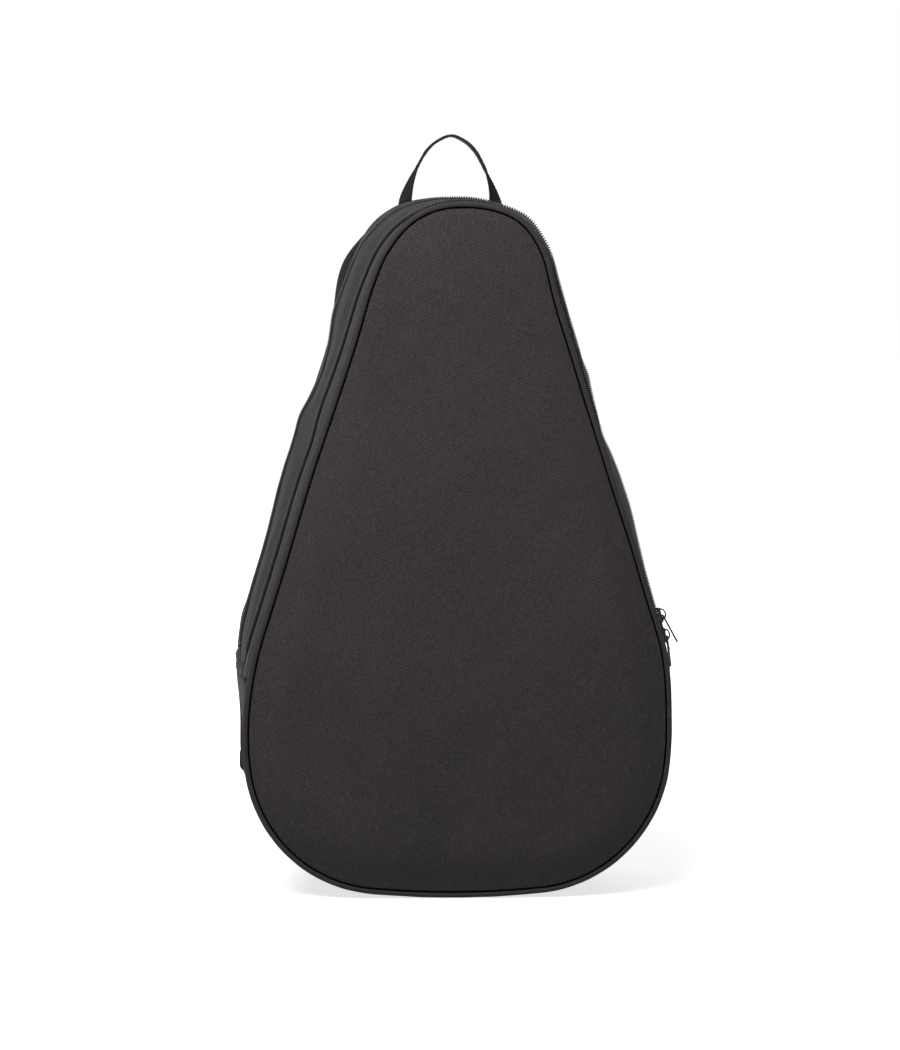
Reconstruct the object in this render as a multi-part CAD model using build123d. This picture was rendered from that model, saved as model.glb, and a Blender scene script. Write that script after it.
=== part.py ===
from build123d import *
import math
import os

# A teardrop backpack for one paddle: soft cloth shell, two coil zips, side pockets, grab handle and straps.
# Millimetres. X is the width, Y the depth with the front at -Y, Z the height. The bag stands at Z = 0.

# Depths of the layers, front to back
FRONT_SEAM_Y = -50
FRONT_CLOTH_Y = (-51.4, -50.2)
FRONT_FOAM_Y = (-50.1, -46.4)
POCKET_ZIP_Y = -42
DIVIDER_Y = (-36.2, -34.8)
MAIN_ZIP_Y = 0
LINING_Y = (40.2, 41.2)
BACK_FOAM_Y = (41.3, 46.3)
BACK_CLOTH_Y = (46.4, 48)
REAR_SEAM_Y = 47

# Outlines, from the bottom middle up one side: arcs as (radius, sweep in degrees), then a straight flank,
# then the shoulder and crown arcs. SEAM is the front panel's edge, REAR the back panel's, which has fuller
# shoulders, and GIRTH is the wider middle of the bag.
FLANK_TILT = 17
SEAM = {
    "bottom": 4.1,
    "lower": ((569, 5.65), (88, 76.7), (217, 24.65)),
    "upper": ((53.7, 70.3), (116, 2.7)),
}
REAR = {
    "bottom": 4.1,
    "lower": ((569, 5.65), (88, 76.7), (288, 24.65)),
    "upper": ((45, 62), (128, 11)),
}
GIRTH = {
    "bottom": 0.5,
    "lower": ((500, 5.65), (96.2, 70), (287, 19.35), (25, 12)),
    "upper": ((46, 60), (140, 13)),
}

# Cloth, piping and zips
CLOTH = 2.5
PIPING_R = 2.2
PIPING_OFFSET = 1.9
PANEL_INSET = -0.6
FOAM_INSET = -4.8
LINING_INSET = -5.5
BACK_INSET = -9
LOWER_CLOTH = (-4.5, -2)
SOLE_HALF = 46
SOLE_TOP = 8
TAPE_THICK = 0.7
COIL_THICK = 2.2
COIL_WIDTH = 2.3
ZIP_GAP = 0.8
MAIN_TAPE_WIDTH = 6.7
POCKET_TAPE_WIDTH = 4.8
POCKET_TAPE = 2.4
MAIN_TAPE = -2.4
ZIP_END_Z = 160
COIL_END_Z = 161.6
FOLD_Z = 190
FOLD_GAP = 0.3
JOIN_Z = (157.4, 159.6)

# Zip sliders and pulls
SLIDER_LENGTH = 9.6
SLIDER_WIDTH = 10
PLATE_THICK = 1
PLATE_LIFT = 0.55
BRIDGE_HALF = 4.2
BRIDGE_RISE = 3.5
BRIDGE_THICK = 0.9
BRIDGE_WIDTH = 1.6
PULL_LENGTH = 21
PULL_WIDTH = 4.8
PULL_THICK = 0.9
UPPER_SLIDER_Z = 181
LOWER_SLIDER_Z = 167.6
LOWER_SLIDER_TILT = 7
POCKET_SLIDER_Z = 183
UPPER_PULL_LEAN = 12.5
LOWER_PULL_LEAN = 1
POCKET_PULL_LEAN = 1

# Side pockets
POCKET_Y = (-47.4, 44.4)
POCKET_Z = (44, 151)
POCKET_CLOTH = 1.2
HEM_HEIGHT = 9
HEM_PROUD = 0.6

# Grab handle
HANDLE_Y = 48
HANDLE_HALF = 32.8
HANDLE_BASE_Z = 455.6
HANDLE_TOP_Z = 499
HANDLE_WEB = 1.8
HANDLE_WIDTH = 20
HANDLE_STUB = 6

# Shoulder straps
STRAP_THICK = 8
STRAP_TOP_Z = 437
STRAP_END_Z = 190
LOCK_SIZE = (34, 4.5, 26)
LOCK_X = 71
LOCK_TILT = 8
WEB_WIDTH = 25
WEB_THICK = 1.5
ANCHOR_THICK = 1.6


def half_outline(line, offset):
    """The right-hand edges of an outline grown by offset, from the bottom middle to the top middle."""
    x = 0
    z = line["bottom"] - offset
    heading = 0
    edges = []

    def reach(radius, start, sweep):
        grown = radius + offset
        first = math.radians(start)
        last = math.radians(start + sweep)
        dx = grown * (math.sin(last) - math.sin(first))
        dz = grown * (math.cos(first) - math.cos(last))
        return dx, dz

    def add_arc(radius, sweep):
        nonlocal x, z, heading
        dx, dz = reach(radius, heading, sweep)
        mid = reach(radius, heading, sweep / 2)
        edges.append(ThreePointArc((x, z), (x + mid[0], z + mid[1]), (x + dx, z + dz)))
        x += dx
        z += dz
        heading += sweep

    for radius, sweep in line["lower"]:
        add_arc(radius, sweep)
    inward = 0
    turned = heading
    for radius, sweep in line["upper"]:
        inward += reach(radius, turned, sweep)[0]
        turned += sweep
    tilt = math.radians(FLANK_TILT)
    length = (x + inward) / math.sin(tilt)
    top = (x - length * math.sin(tilt), z + length * math.cos(tilt))
    edges.append(Line((x, z), top))
    x, z = top
    for radius, sweep in line["upper"]:
        add_arc(radius, sweep)
    return edges


def outline_wire(line, offset):
    right = half_outline(line, offset)
    left = [edge.mirror(Plane.YZ) for edge in right]
    return Wire(right + left, sequenced=True)


def section(line, offset, y):
    """The outline filled in, standing at depth y."""
    return Plane.XZ.offset(-y) * Face(outline_wire(line, offset))


def slab(line, offset, low_y, high_y):
    return extrude(section(line, offset, high_y), amount=high_y - low_y)


def ring(line, inner, outer, low_y, high_y):
    return slab(line, outer, low_y, high_y) - slab(line, inner, low_y, high_y)


def tapered(front, rear, inset):
    """The solid between two sections, each given as (outline, offset, depth), both shrunk by inset."""
    return loft([section(line, offset - inset, y) for line, offset, y in (front, rear)], ruled=True)


def between(shape, low_z, high_z):
    """The part of a shape between two heights."""
    return shape & Pos(0, 0, (low_z + high_z) / 2) * Box(800, 800, high_z - low_z)


def above(shape, z):
    return between(shape, z, 900)


def below(shape, z):
    return between(shape, -100, z)


def half(shape, side):
    """The part of a shape on the side of the bag that side names, -1 for left or 1 for right."""
    return shape & Pos(side * 200, 0, 0) * Box(399.9, 1000, 2000)


def save(shape, name):
    solids = shape.solids()
    whole = solids[0] if len(solids) == 1 else Compound(solids)
    whole.label = name
    export_step(whole, f"parts/{name}.step")


def flank_point(line, offset, z):
    """The x of the straight flank at a height, on the right."""
    edge = half_outline(line, offset)[len(line["lower"])]
    low = edge @ 0
    return low.X - (z - low.Y) * math.tan(math.radians(FLANK_TILT))


def piping(line, y):
    path = Plane.XZ.offset(-y) * outline_wire(line, PIPING_OFFSET)
    start = path @ 0
    profile = Plane(origin=start, z_dir=path % 0) * Circle(PIPING_R)
    return sweep(profile, path=path)


def zip_half(line, tape_offset, tape_width, middle_y, side):
    """The tape and the coil on one side of a zip's middle, side -1 to the front and 1 to the back."""
    near = middle_y + side * ZIP_GAP
    tape_far = near + side * tape_width
    coil_far = near + side * COIL_WIDTH
    top = tape_offset + TAPE_THICK
    tape = ring(line, tape_offset, top, min(near, tape_far), max(near, tape_far))
    coil = ring(line, top, top + COIL_THICK, min(near, coil_far), max(near, coil_far))
    return tape, coil


def build_front():
    cloth = slab(SEAM, PANEL_INSET, *FRONT_CLOTH_Y)
    foam = slab(SEAM, FOAM_INSET, *FRONT_FOAM_Y)
    divider = slab(SEAM, LINING_INSET, *DIVIDER_Y)
    cord = piping(SEAM, FRONT_SEAM_Y)
    for shape, name in (
        (cloth, "front_panel"),
        (foam, "front_foam"),
        (divider, "divider"),
        (cord, "front_piping"),
    ):
        save(below(shape, FOLD_Z - FOLD_GAP), f"{name}_lower")
        save(above(shape, FOLD_Z + FOLD_GAP), f"{name}_upper")


def build_back():
    save(slab(REAR, PANEL_INSET, *BACK_CLOTH_Y), "back_panel")
    save(slab(REAR, BACK_INSET, *BACK_FOAM_Y), "back_foam")
    save(slab(REAR, BACK_INSET, *LINING_Y), "back_lining")
    save(piping(REAR, REAR_SEAM_Y), "rear_piping")


def build_gussets():
    tape_edge = ZIP_GAP + MAIN_TAPE_WIDTH
    pocket_edge = POCKET_ZIP_Y + ZIP_GAP + POCKET_TAPE_WIDTH
    front_ends = ((SEAM, 3.5, pocket_edge), (GIRTH, -1.6, MAIN_ZIP_Y - tape_edge))
    rear_ends = ((GIRTH, -1.6, MAIN_ZIP_Y + tape_edge), (REAR, 1.5, 44.5))
    front = tapered(*front_ends, 0) - tapered(*front_ends, CLOTH)
    rear = tapered(*rear_ends, 0) - tapered(*rear_ends, CLOTH)
    save(above(front, FOLD_Z + FOLD_GAP), "front_gusset")
    save(between(front, ZIP_END_Z, FOLD_Z - FOLD_GAP), "front_gusset_ends")
    save(above(rear, ZIP_END_Z), "rear_gusset")
    low_y, high_y = POCKET_Y
    sole = Pos(0, (low_y + high_y) / 2, SOLE_TOP / 2) * Box(2 * SOLE_HALF, high_y - low_y, SOLE_TOP)
    save(below(ring(SEAM, *LOWER_CLOTH, *POCKET_Y) + sole, JOIN_Z[0]), "lower_gusset")
    # The seam above each side pocket has the upper gusset's shape, so the mouth stays open at its corners
    join = tapered(*front_ends, 0) + tapered(*rear_ends, 0)
    join += slab(GIRTH, MAIN_TAPE, MAIN_ZIP_Y - tape_edge, MAIN_ZIP_Y + tape_edge)
    join += slab(SEAM, POCKET_TAPE, low_y, pocket_edge)
    join -= slab(SEAM, LOWER_CLOTH[0], low_y - 1, high_y + 1)
    save(between(join, *JOIN_Z), "gusset_join_seams")


def build_main_zip():
    front_tape, front_coil = zip_half(GIRTH, MAIN_TAPE, MAIN_TAPE_WIDTH, MAIN_ZIP_Y, -1)
    rear_tape, rear_coil = zip_half(GIRTH, MAIN_TAPE, MAIN_TAPE_WIDTH, MAIN_ZIP_Y, 1)
    save(above(rear_tape, ZIP_END_Z), "main_zip_tape_rear")
    save(above(rear_coil, COIL_END_Z), "main_zip_coil_rear")
    save(above(front_tape, FOLD_Z + FOLD_GAP), "main_zip_tape_front")
    save(above(front_coil, FOLD_Z + FOLD_GAP), "main_zip_coil_front")
    save(between(front_tape, ZIP_END_Z, FOLD_Z - FOLD_GAP), "main_zip_tape_front_ends")
    save(between(front_coil, COIL_END_Z, FOLD_Z - FOLD_GAP), "main_zip_coil_front_ends")


def build_pocket_zip():
    tapes = []
    coils = []
    for side, name in ((-1, "outer"), (1, "inner")):
        tape, coil = zip_half(SEAM, POCKET_TAPE, POCKET_TAPE_WIDTH, POCKET_ZIP_Y, side)
        save(above(tape, FOLD_Z + FOLD_GAP), f"pocket_zip_tape_{name}")
        save(above(coil, FOLD_Z + FOLD_GAP), f"pocket_zip_coil_{name}")
        tapes.append(between(tape, ZIP_END_Z, FOLD_Z - FOLD_GAP))
        coils.append(between(coil, COIL_END_Z, FOLD_Z - FOLD_GAP))
    save(tapes[0] + tapes[1], "pocket_zip_tape_ends")
    save(coils[0] + coils[1], "pocket_zip_coil_ends")


def build_stops():
    """A bar clamped across each zip just under the end of its coils."""
    wide = ZIP_GAP + COIL_WIDTH
    for line, offset, y, name in (
        (GIRTH, MAIN_TAPE + TAPE_THICK, MAIN_ZIP_Y, "main_zip_stops"),
        (SEAM, POCKET_TAPE + TAPE_THICK, POCKET_ZIP_Y, "pocket_zip_stops"),
    ):
        bar = ring(line, offset, offset + COIL_THICK, y - wide, y + wide)
        save(between(bar, ZIP_END_Z, COIL_END_Z - 0.1), name)


def slider_body(mouth):
    """A slider on the girth line: X outward, Y across, Z along. mouth is 1 when its wide end is up."""
    top_low = MAIN_TAPE + TAPE_THICK + COIL_THICK + PLATE_LIFT
    floor_top = MAIN_TAPE - PLATE_LIFT
    end = mouth * SLIDER_LENGTH / 2
    wide = SLIDER_WIDTH / 2
    narrow = wide - 0.8
    right = [(narrow, -end), (narrow, 0), (wide, end / 3), (wide, end)]
    left = [(-x, y) for x, y in reversed(right)]
    plan = Polygon(*right, *left, align=None)
    rows = plan.vertices().group_by(Axis.Y)
    plan = fillet(rows[0] + rows[-1], 1.2)
    plate = extrude(Plane.YZ * plan, amount=PLATE_THICK, dir=(1, 0, 0))
    body = Pos(top_low, 0, 0) * plate + Pos(floor_top - PLATE_THICK, 0, 0) * plate
    depth = COIL_THICK + PLATE_LIFT - 0.4
    flange = Box(depth, 0.7, SLIDER_LENGTH - 1.6)
    for side in (-1, 1):
        body += Pos(top_low - depth / 2, side * (SLIDER_WIDTH - 2.3) / 2, 0) * flange
    post = Box(top_low - floor_top, 2 * ZIP_GAP - 0.7, 2.4)
    body += Pos((top_low + floor_top) / 2, 0, mouth * 2.6) * post
    return body + bridge(top_low + PLATE_THICK)


def bridge(base):
    """The arch that carries the pull, along Z, standing on the top plate at X = base."""
    outer = Ellipse(BRIDGE_HALF, BRIDGE_RISE)
    inner = Ellipse(BRIDGE_HALF - 1.1, BRIDGE_RISE - BRIDGE_THICK)
    arch = (outer - inner) & Pos(0, BRIDGE_RISE / 2) * Rectangle(2 * BRIDGE_HALF, BRIDGE_RISE)
    side = Plane(origin=(base - 0.05, -BRIDGE_WIDTH / 2, 0), x_dir=(0, 0, 1), z_dir=(0, 1, 0))
    return extrude(side * arch, amount=BRIDGE_WIDTH, dir=(0, 1, 0))


def pull_tab():
    """A flat pull hanging down from its cross bar at the origin, with a slot for the bridge."""
    plan = Pos(0, -PULL_LENGTH / 2 + 1) * RectangleRounded(PULL_WIDTH, PULL_LENGTH, 1.2)
    plan -= Pos(0, -3.6) * Rectangle(2.6, 5.8)
    plan -= Pos(0, -PULL_LENGTH + 4.4) * RectangleRounded(2.2, 4.6, 1)
    return Pos(-PULL_THICK / 2, 0, 0) * extrude(Plane.YZ * plan, amount=PULL_THICK, dir=(1, 0, 0))


def pull_place(place, lean):
    """Where a pull's cross bar sits in the bridge's lower corner, and how it leans off the track."""
    pivot = MAIN_TAPE + TAPE_THICK + COIL_THICK + PLATE_LIFT + PLATE_THICK + 1.15
    return place * Pos(pivot, 0, -1.6) * Rot(0, lean, 0)


def build_sliders():
    def on_flank(line, shift, y, z, tilt):
        return Pos(flank_point(line, shift, z), y, z) * Rot(0, -tilt, 0)

    upper = on_flank(GIRTH, 0, MAIN_ZIP_Y, UPPER_SLIDER_Z, FLANK_TILT)
    hip = half_outline(GIRTH, 0)[2] @ 1
    lower_x = hip.X - (LOWER_SLIDER_Z - hip.Y) * math.tan(math.radians(LOWER_SLIDER_TILT))
    lower = Pos(lower_x, MAIN_ZIP_Y, LOWER_SLIDER_Z) * Rot(0, -LOWER_SLIDER_TILT, 0)
    pocket = on_flank(SEAM, POCKET_TAPE - MAIN_TAPE, POCKET_ZIP_Y, POCKET_SLIDER_Z, FLANK_TILT)
    for place, mouth, lean, slider, pull in (
        (upper, -1, UPPER_PULL_LEAN, "main_slider_upper", "main_pull_upper"),
        (lower, 1, LOWER_PULL_LEAN, "main_slider_lower", "main_pull_lower"),
        (pocket, 1, POCKET_PULL_LEAN, "pocket_slider", "pocket_pull"),
    ):
        save(place * slider_body(mouth), slider)
        save(pull_place(place, -lean) * pull_tab(), pull)


def build_side_pockets():
    outside = slab(GIRTH, 0, *POCKET_Y) + slab(SEAM, POCKET_CLOTH + 0.05, *POCKET_Y)
    inner_y = (POCKET_Y[0] + POCKET_CLOTH, POCKET_Y[1] - POCKET_CLOTH)
    inside = slab(GIRTH, -POCKET_CLOTH, *inner_y) + slab(SEAM, 0.05, *inner_y)
    pockets = between(outside - inside - slab(SEAM, 0.05, *POCKET_Y), *POCKET_Z)
    hem = ring(GIRTH, 0, HEM_PROUD, *inner_y)
    hem = between(hem, POCKET_Z[1] - HEM_HEIGHT, POCKET_Z[1])
    for side, name in ((-1, "left"), (1, "right")):
        save(half(pockets, side), f"side_pocket_{name}")
        save(half(hem, side), f"side_pocket_hem_{name}")


def build_handle():
    """A webbing loop standing on the rear seam, narrower where its folded ends are sewn in."""
    rise = HANDLE_TOP_Z - HANDLE_BASE_Z

    def arch(inset):
        w = HANDLE_HALF - inset
        top = HANDLE_TOP_Z - inset
        right = (w - rise * 0.17, HANDLE_BASE_Z + rise * 0.46)
        bend = (w - rise * 0.38, HANDLE_BASE_Z + rise * 0.8)
        points = [(-w, HANDLE_BASE_Z), (-right[0], right[1]), (-bend[0], bend[1]), (0, top)]
        points += [(bend[0], bend[1]), (right[0], right[1]), (w, HANDLE_BASE_Z)]
        return Spline(*points)

    outer = arch(0)
    inner = arch(HANDLE_WEB)
    feet = [Line(outer @ 0, inner @ 0), Line(outer @ 1, inner @ 1)]
    face = Face(Wire([outer, inner, *feet], sequenced=True))
    wide = HANDLE_WIDTH / 2
    loop = Pos(0, HANDLE_Y + wide, 0) * extrude(Plane.XZ * face, amount=HANDLE_WIDTH, dir=(0, -1, 0))
    stub = HANDLE_STUB / 2
    taper_z = HANDLE_BASE_Z + 20
    profile = Polygon(
        (-stub, HANDLE_BASE_Z),
        (stub, HANDLE_BASE_Z),
        (wide, taper_z),
        (wide, HANDLE_TOP_Z + 1),
        (-wide, HANDLE_TOP_Z + 1),
        (-wide, taper_z),
        align=None,
    )
    taper = Pos(-100, HANDLE_Y, 0) * extrude(Plane.YZ * profile, amount=200, dir=(1, 0, 0))
    save(loop & taper, "grab_handle")


def strap_solid():
    """The right-hand padded strap: a bowed pad seen from the side, cut to its outline seen from the front."""
    centre = [(54.6, STRAP_TOP_Z), (68, 412), (73, 370), (70, 280), (62, STRAP_END_Z)]
    reach = STRAP_THICK / 2
    inner = Spline(*[(y - reach, z) for y, z in centre])
    outer = Spline(*[(y + reach, z) for y, z in centre])
    ends = [Line(inner @ 0, outer @ 0), Line(inner @ 1, outer @ 1)]
    side = Face(Wire([inner, outer, *ends], sequenced=True))
    bowed = extrude(Plane.YZ * side, amount=160, dir=(1, 0, 0))
    outside = Spline((46, STRAP_TOP_Z + 5), (66, 414), (73, 385), (80, 290), (92, STRAP_END_Z - 5))
    inside = Spline((10, STRAP_TOP_Z + 5), (16, 400), (24, 330), (50, STRAP_END_Z - 5))
    caps = [Line(outside @ 0, inside @ 0), Line(outside @ 1, inside @ 1)]
    front = Face(Wire([outside, inside, *caps], sequenced=True))
    return bowed & Pos(0, 150, 0) * extrude(Plane.XZ * front, amount=150, dir=(0, -1, 0))


def lock_solid():
    """A ladder lock: a flat frame with three slots."""
    width, depth, height = LOCK_SIZE
    frame = Box(width, depth, height)
    frame = fillet(frame.edges().filter_by(Axis.Y), 3)
    for z in (-8, 0, 8):
        frame -= Pos(0, 0, z) * Box(WEB_WIDTH + 2, depth + 1, 3.6)
    return frame


def build_straps():
    lock_z = STRAP_END_Z - LOCK_SIZE[2] / 2 - 2.6
    lock_place = Pos(LOCK_X, 62, lock_z) * Rot(0, -LOCK_TILT, 0)
    tail = Pos(LOCK_X + 4, 66, lock_z - 38) * Rot(0, -LOCK_TILT, 0) * Box(WEB_WIDTH, WEB_THICK, 84)
    bottom = Vector(126, 51.6, 74)
    top = Vector(LOCK_X + 2, 57.4, lock_z - 6)
    run = top - bottom
    middle = (top + bottom) / 2
    flat = Plane(origin=middle, x_dir=run.cross(Vector(0, 1, 0)), z_dir=run)
    webbing = flat * Box(WEB_WIDTH, WEB_THICK, run.length)
    tab = Polygon((113, 92), (138, 83), (138, 71), (122, 56), align=None)
    tab_y = BACK_CLOTH_Y[1] + 1.3
    anchor = Pos(0, tab_y + ANCHOR_THICK, 0) * extrude(Plane.XZ * tab, amount=ANCHOR_THICK, dir=(0, -1, 0))
    yoke = Pos(0, BACK_CLOTH_Y[1] + 1.1, 418) * Box(76, 2.1, 22)
    save(yoke, "strap_yoke")
    for solid, name in (
        (strap_solid(), "shoulder_strap"),
        (lock_place * lock_solid(), "ladder_lock"),
        (tail, "strap_tail"),
        (webbing - anchor, "strap_webbing"),
        (anchor, "lower_anchor"),
    ):
        save(solid, f"{name}_right")
        save(mirror(solid, about=Plane.YZ), f"{name}_left")


os.makedirs("parts", exist_ok=True)
build_front()
build_back()
build_gussets()
build_main_zip()
build_pocket_zip()
build_stops()
build_sliders()
build_side_pockets()
build_handle()
build_straps()
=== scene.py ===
import math

import bmesh
import bpy
import numpy as np
from mathutils import Matrix, Vector

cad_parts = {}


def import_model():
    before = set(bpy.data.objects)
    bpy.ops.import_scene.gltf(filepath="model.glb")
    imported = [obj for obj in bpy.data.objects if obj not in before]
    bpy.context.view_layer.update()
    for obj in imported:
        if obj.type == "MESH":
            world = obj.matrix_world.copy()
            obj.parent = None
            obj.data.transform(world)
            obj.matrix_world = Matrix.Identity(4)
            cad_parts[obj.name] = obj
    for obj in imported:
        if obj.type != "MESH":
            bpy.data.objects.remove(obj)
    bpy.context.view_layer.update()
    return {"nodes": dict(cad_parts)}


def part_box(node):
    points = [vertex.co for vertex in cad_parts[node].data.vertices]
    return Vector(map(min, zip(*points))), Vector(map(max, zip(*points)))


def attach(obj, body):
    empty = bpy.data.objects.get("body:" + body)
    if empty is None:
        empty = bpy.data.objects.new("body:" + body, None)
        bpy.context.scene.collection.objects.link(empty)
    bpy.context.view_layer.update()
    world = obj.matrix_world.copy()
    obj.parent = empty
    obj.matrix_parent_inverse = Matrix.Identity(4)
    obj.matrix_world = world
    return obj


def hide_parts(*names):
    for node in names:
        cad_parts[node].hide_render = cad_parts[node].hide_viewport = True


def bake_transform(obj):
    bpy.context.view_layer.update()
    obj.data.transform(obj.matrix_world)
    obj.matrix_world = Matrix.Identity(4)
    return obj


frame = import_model()

# Lengths are millimetres until a mesh is made. s runs round the bag along the seam line, from the bottom
# middle up the right side, over the top and down the left; y is depth; lift is distance off the seam line.
MM = 0.001
SEAM = {"bottom": 4.1, "lower": ((569, 5.65), (88, 76.7), (217, 24.65)), "upper": ((53.7, 70.3), (116, 2.7))}
REAR = {"bottom": 4.1, "lower": ((569, 5.65), (88, 76.7), (288, 24.65)), "upper": ((45, 62), (128, 11))}
GIRTH = {
    "bottom": 0.5,
    "lower": ((500, 5.65), (96.2, 70), (287, 19.35), (25, 12)),
    "upper": ((46, 60), (140, 13)),
}
FLANK_TILT = 17
FRONT_Y = -50
REAR_Y = 47
PIPING_LIFT = 1.75
POCKET_ZIP_Y = -42
HEM_Z = 151
POCKET_FOOT_Z = 44
FOLD = ((0, -0.0525, 0.187), (0, -0.0525, 0.217))
COIL_PITCH = 1.45
COIL_END_Z = 161.8
SIDES = ((-1, "left"), (1, "right"))

# Swells along a side, each as (size, height of its middle, spread)
SWAY_RIGHT = ((2.6, 166, 24), (1.8, 226, 26), (-2.3, 388, 24), (-1.1, 334, 22), (1.3, 441, 7), (1.0, 88, 22))
SWAY_LEFT = ((1.3, 275, 32), (0.9, 392, 13), (-1.2, 428, 9), (0.9, 100, 24))
CREST_LEFT = ((3.9, 286, 24), (3.9, 402, 24), (0.9, 205, 20), (-0.6, 340, 9), (2.2, 376, 10))
CREST_LEFT += ((2.2, 309, 8), (1.8, 250, 20))


# ---------------------------------------------------------------- outlines

def half_outline(line):
    """Closely spaced points on the right half of an outline, bottom middle to top middle."""
    points = [np.array([[0.0, line["bottom"]]])]
    heading = 0.0

    def arc(radius, sweep):
        nonlocal heading
        angles = np.radians(np.linspace(heading, heading + sweep, 160)[1:])
        first = math.radians(heading)
        x = radius * (np.sin(angles) - math.sin(first))
        z = radius * (math.cos(first) - np.cos(angles))
        points.append(points[-1][-1] + np.stack([x, z], 1))
        heading += sweep

    for radius, sweep in line["lower"]:
        arc(radius, sweep)
    inward = 0.0
    turned = heading
    for radius, sweep in line["upper"]:
        inward += radius * (math.sin(math.radians(turned + sweep)) - math.sin(math.radians(turned)))
        turned += sweep
    tilt = math.radians(FLANK_TILT)
    length = (points[-1][-1][0] + inward) / math.sin(tilt)
    run = np.linspace(0, length, 400)[1:, None]
    points.append(points[-1][-1] + run * np.array([[-math.sin(tilt), math.cos(tilt)]]))
    for radius, sweep in line["upper"]:
        arc(radius, sweep)
    return np.concatenate(points)


def close_outline(line):
    """The whole outline, its left half a mirror of its right."""
    right = half_outline(line)
    left = right[1:-1][::-1] * np.array([-1, 1])
    return np.concatenate([right, left])


def smooth(values, reach):
    """A closed run of values averaged over reach samples each way."""
    width = 2 * reach + 1
    padded = np.concatenate([values[-reach:], values, values[:reach]])
    return np.apply_along_axis(np.convolve, 0, padded, np.ones(width) / width, mode="valid")


def unit(vectors):
    return vectors / np.linalg.norm(vectors, axis=-1, keepdims=True)


def run_of(path):
    """The length along a path of (n, k) points up to each of them."""
    return np.concatenate([[0], np.cumsum(np.linalg.norm(np.diff(path, axis=0), axis=1))])


def read_along(where, run, points):
    """The (n, k) points, given at each length in run, read at other lengths."""
    return np.stack([np.interp(where, run, column) for column in points.T], -1)


def at_depth(outline, y):
    """Flat (x, z) points set at a depth."""
    return np.stack([outline[:, 0], np.full(len(outline), y), outline[:, 1]], 1)


STATIONS = 2600
raw = close_outline(SEAM)
raw = np.concatenate([raw, raw[:1]])
along = run_of(raw)
LENGTH = np.linalg.norm(np.diff(raw, axis=0), axis=1).sum()
LOOP_S = np.linspace(0, LENGTH, STATIONS + 1)
LOOP_P = read_along(LOOP_S, along, raw)
tangent = unit(smooth(np.roll(LOOP_P[:-1], -1, 0) - np.roll(LOOP_P[:-1], 1, 0), 8))
LOOP_N = np.stack([tangent[:, 1], -tangent[:, 0]], 1)
LOOP_N = np.concatenate([LOOP_N, LOOP_N[:1]])


def bump(v, centre, spread):
    """A bell of height 1."""
    return np.exp(-0.5 * ((v - centre) / spread) ** 2)


def bumps(v, table):
    return sum(size * bump(v, centre, spread) for size, centre, spread in table)


def ease(v, low, high):
    """A smooth step from 0 at low to 1 at high."""
    t = np.clip((v - low) / (high - low), 0, 1)
    return t * t * (3 - 2 * t)


def sway(x, z):
    """How far the sewn outline wanders outward from its drawn line, on each side."""
    return np.where(x > 0, bumps(z, SWAY_RIGHT) * ease(x, 6, 30), bumps(z, SWAY_LEFT) * ease(-x, 6, 30))


def gap_to(line, reach):
    """How far outside the seam line another outline lies, at each station."""
    other = close_outline(line)
    gaps = []
    for point, normal in zip(LOOP_P[:-1], LOOP_N[:-1]):
        offset = other - point
        out = offset @ normal
        aside = np.abs(offset @ np.array([-normal[1], normal[0]])) + np.where(np.abs(out) > 60, 1e6, 0)
        near = np.argsort(aside)[:2]
        weight = 1 / (aside[near] + 1e-6)
        gaps.append((out[near] * weight).sum() / weight.sum())
    gaps = smooth(np.array(gaps), reach)
    return np.append(gaps, gaps[0])


LOOP_SWAY = sway(LOOP_P[:, 0], LOOP_P[:, 1])
LOOP_GAP = gap_to(GIRTH, 22) - LOOP_SWAY
LOOP_REAR = gap_to(REAR, 14) - LOOP_SWAY
# The rear edge is drawn in where the left anchor pulls on it.
LOOP_REAR = LOOP_REAR - 2.4 * bump(LOOP_P[:, 1], 108, 15) * ease(-LOOP_P[:, 0], 30, 90)
LOOP_P = LOOP_P + LOOP_N * LOOP_SWAY[:, None]


def at(s, table):
    """A table of values or points along the seam line, read at each s."""
    s = np.mod(s, LENGTH)
    return np.interp(s, LOOP_S, table) if table.ndim == 1 else read_along(s, LOOP_S, table)


def s_at(z, side):
    """Where the seam line reaches a height, on the right for side 1 and the left for side -1."""
    right = LOOP_S <= LENGTH / 2
    s = np.interp(z, LOOP_P[right, 1], LOOP_S[right])
    return s if side > 0 else LENGTH - s


def out_of(s):
    """The outward direction at each station, in space."""
    n = at(s, LOOP_N)
    return np.stack([n[:, 0], 0 * s, n[:, 1]], 1)


def around(low_z, spacing):
    """Stations over the top of the bag, between the places at one height on the right and the left."""
    first, last = s_at(low_z, 1), s_at(low_z, -1)
    return np.linspace(first, last, int((last - first) / spacing) + 1)


def place(s, y, lift):
    """Points off the seam line: s has shape (n,), y and lift (n, m). The result is (n, m, 3)."""
    p = at(s, LOOP_P)
    n = at(s, LOOP_N)
    x = p[:, None, 0] + n[:, None, 0] * lift
    z = p[:, None, 1] + n[:, None, 1] * lift
    return np.stack([x, np.broadcast_to(y, x.shape), z], -1)


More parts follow.
